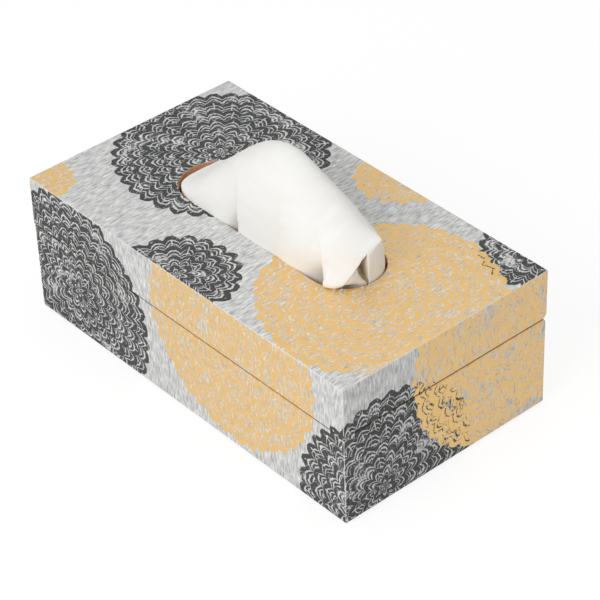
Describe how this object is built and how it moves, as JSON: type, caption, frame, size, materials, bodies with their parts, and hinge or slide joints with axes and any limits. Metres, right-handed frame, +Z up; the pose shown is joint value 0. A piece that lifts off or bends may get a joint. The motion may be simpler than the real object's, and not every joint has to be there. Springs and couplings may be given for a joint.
{
  "type": "tissue box",
  "caption": "Long board tissue box in a printed cover, its hinged lid slotted for folded tissues, with a pulled tissue standing up from the slot.",
  "frame": {"origin": "middle of the underside, where the felt rests", "axes": "+X along the long sides to the right, -Y towards the front long side, +Y towards the hinges, +Z up"},
  "size_m": [0.25, 0.14, 0.1299],
  "materials": {
    "printed_cover": "printed paper, satin, heather grey with charcoal and ochre print",
    "wall_board": "sawn fibreboard, matt",
    "slot_board": "fibreboard with a stained slot edge, matt",
    "felt": "pressed felt, dark grey",
    "tissue": "soft white tissue, matt",
    "hinge_brass": "plated brass, satin",
    "magnet": "nickel plated"
  },
  "bodies": {
    "base": {"base_floor": "wall_board", "base_front_wall": "wall_board", "base_back_wall": "wall_board", "base_left_wall": "wall_board", "base_right_wall": "wall_board", "base_cover": "printed_cover", "base_felt": "felt", "base_magnets": "magnet", "base_hinge_screws": "hinge_brass", "left_hinge_base_leaf": "hinge_brass", "right_hinge_base_leaf": "hinge_brass", "left_hinge_pin": "hinge_brass", "right_hinge_pin": "hinge_brass", "tissue_stack": "tissue"},
    "lid": {"lid_top_board": "slot_board", "lid_front_rim": "wall_board", "lid_back_rim": "wall_board", "lid_left_rim": "wall_board", "lid_right_rim": "wall_board", "lid_cover": "printed_cover", "lid_magnets": "magnet", "lid_hinge_screws": "hinge_brass", "left_hinge_lid_leaf": "hinge_brass", "right_hinge_lid_leaf": "hinge_brass", "pulled_tissue": "tissue"}
  },
  "joints": [
    {"name": "lid_hinge", "type": "hinge", "parent": "base", "child": "lid", "pos_m": [0, 0.0676, 0.056], "axis": [-1, 0, 0], "range_deg": [0, 95]}
  ]
}
